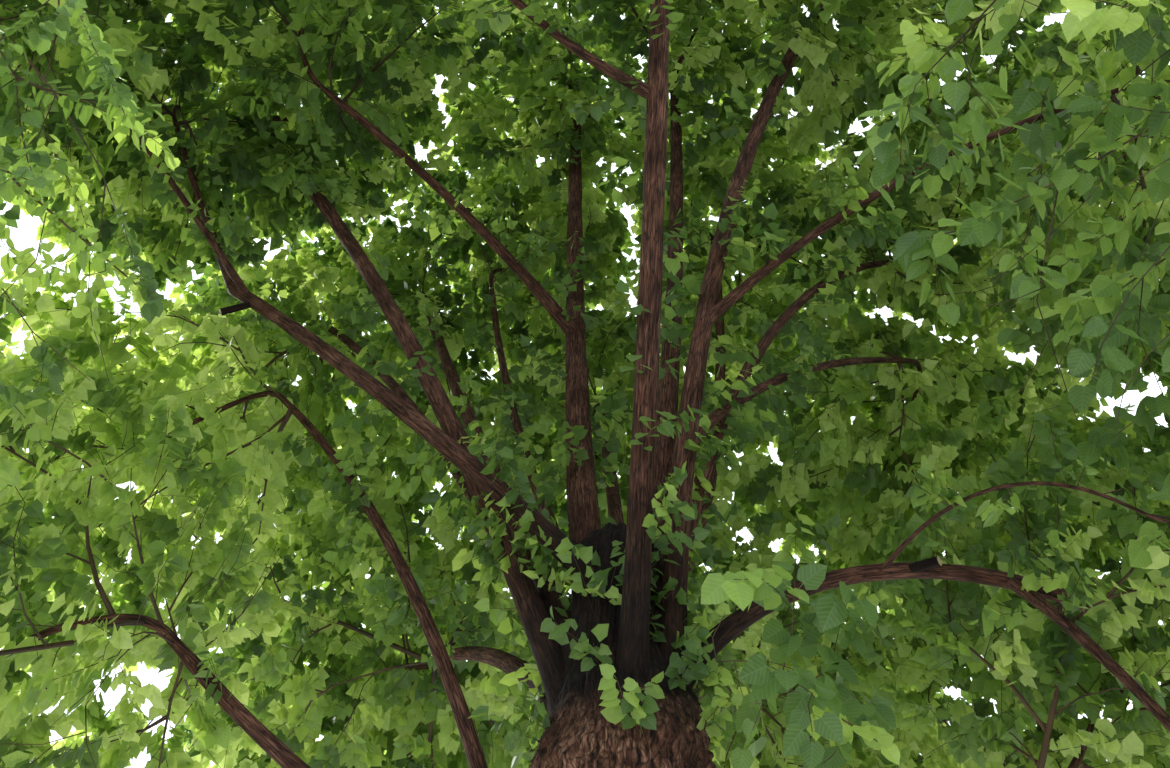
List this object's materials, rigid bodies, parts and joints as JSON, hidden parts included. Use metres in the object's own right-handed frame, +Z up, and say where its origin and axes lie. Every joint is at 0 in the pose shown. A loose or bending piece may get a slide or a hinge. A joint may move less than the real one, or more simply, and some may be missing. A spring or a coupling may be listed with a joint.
{
  "type": "linden tree",
  "caption": "Broad linden tree with a burred pollard head on a short trunk, steep boughs fanning out of it and a full dome of green summer foliage.",
  "frame": {"origin": "in the flat cut under the trunk, at ground level", "axes": "+Z up the trunk, -Y towards the side that the steep front bough leans to, +X to the right of it"},
  "size_m": [12.7338, 12.7412, 12.8886],
  "materials": {
    "trunk_bark": "deeply furrowed bark",
    "bough_bark": "finely ridged bark",
    "leaves": "soft matt summer leaves"
  },
  "bodies": {
    "root": {"bough_front": "bough_bark", "bough_front_hanging_left": "bough_bark", "bough_front_hanging_right": "bough_bark", "bough_front_high_left": "bough_bark", "bough_front_high_right": "bough_bark", "bough_front_side": "bough_bark", "bough_left_back": "bough_bark", "bough_left_long": "bough_bark", "bough_left_outer": "bough_bark", "bough_left_rear": "bough_bark", "bough_left_steep": "bough_bark", "bough_left_upper": "bough_bark", "bough_low_left": "bough_bark", "bough_lowest_left": "bough_bark", "bough_middle": "bough_bark", "bough_middle_left": "bough_bark", "bough_rear_inner": "bough_bark", "bough_rear_left_low": "bough_bark", "bough_rear_right_low": "bough_bark", "bough_rear_slim": "bough_bark", "bough_right_arching": "bough_bark", "bough_right_front": "bough_bark", "bough_right_low": "bough_bark", "bough_right_outer": "bough_bark", "bough_right_rear": "bough_bark", "bough_right_rear_low": "bough_bark", "bough_right_sawn": "bough_bark", "bough_right_shoot": "bough_bark", "bough_right_spreading": "bough_bark", "bough_right_upright": "bough_bark", "foliage_front": "leaves", "foliage_front_hanging_left": "leaves", "foliage_front_hanging_right": "leaves", "foliage_front_high_left": "leaves", "foliage_front_high_right": "leaves", "foliage_front_side": "leaves", "foliage_left_back": "leaves", "foliage_left_outer": "leaves", "foliage_left_rear": "leaves", "foliage_left_steep": "leaves", "foliage_left_upper": "leaves", "foliage_low_left": "leaves", "foliage_lowest_left": "leaves", "foliage_middle": "leaves", "foliage_middle_left": "leaves", "foliage_rear_inner": "leaves", "foliage_rear_left_low": "leaves", "foliage_rear_right_low": "leaves", "foliage_rear_slim": "leaves", "foliage_right_arching": "leaves", "foliage_right_front": "leaves", "foliage_right_low": "leaves", "foliage_right_outer": "leaves", "foliage_right_rear": "leaves", "foliage_right_rear_low": "leaves", "foliage_right_shoot": "leaves", "foliage_right_spreading": "leaves", "foliage_right_upright": "leaves", "sprouts_right": "leaves", "trunk": "trunk_bark"}
  },
  "joints": []
}
